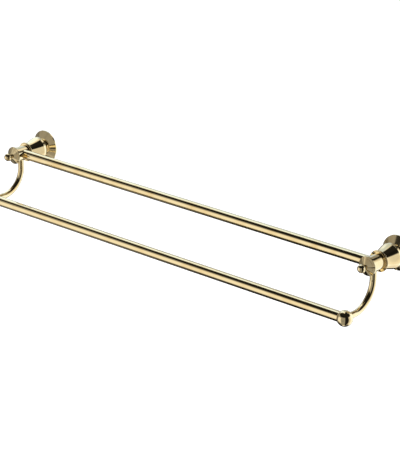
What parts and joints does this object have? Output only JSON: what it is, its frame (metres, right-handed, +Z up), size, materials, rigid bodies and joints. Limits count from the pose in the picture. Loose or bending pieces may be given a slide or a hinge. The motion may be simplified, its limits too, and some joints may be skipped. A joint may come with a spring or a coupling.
{
  "type": "towel rack",
  "caption": "Wall mounted double towel rack: an upper rail between turned wall posts and a front rail on curved arms below, all in polished brass.",
  "frame": {"origin": "on the wall, midway between the two posts, at the height of the upper rail's axis; this is the middle of the four wall screw holes", "axes": "+X along the rails, +Y into the wall, so that the rack stands out towards -Y, +Z up"},
  "size_m": [0.799, 0.133, 0.104],
  "materials": {
    "polished_brass": "polished and lacquered brass, mirror bright",
    "polished_rail": "polished and lacquered brass tube, mirror bright",
    "pressed_steel": "zinc plated pressed steel, dull",
    "screw_steel": "plain stainless steel"
  },
  "bodies": {
    "root": {"upper_rail": "polished_rail", "front_rail": "polished_rail", "left_wall_plate": "pressed_steel", "left_flange": "polished_brass", "left_flange_set_screw": "screw_steel", "left_post_bolt": "screw_steel", "left_bell": "polished_brass", "left_collar": "polished_brass", "left_hub": "polished_brass", "left_cap": "polished_brass", "left_finial": "polished_brass", "left_arm": "polished_brass", "left_ball": "polished_brass", "left_rail_set_screws": "screw_steel", "right_wall_plate": "pressed_steel", "right_flange": "polished_brass", "right_flange_set_screw": "screw_steel", "right_post_bolt": "screw_steel", "right_bell": "polished_brass", "right_collar": "polished_brass", "right_hub": "polished_brass", "right_cap": "polished_brass", "right_finial": "polished_brass", "right_arm": "polished_brass", "right_ball": "polished_brass", "right_rail_set_screws": "screw_steel"}
  },
  "joints": []
}
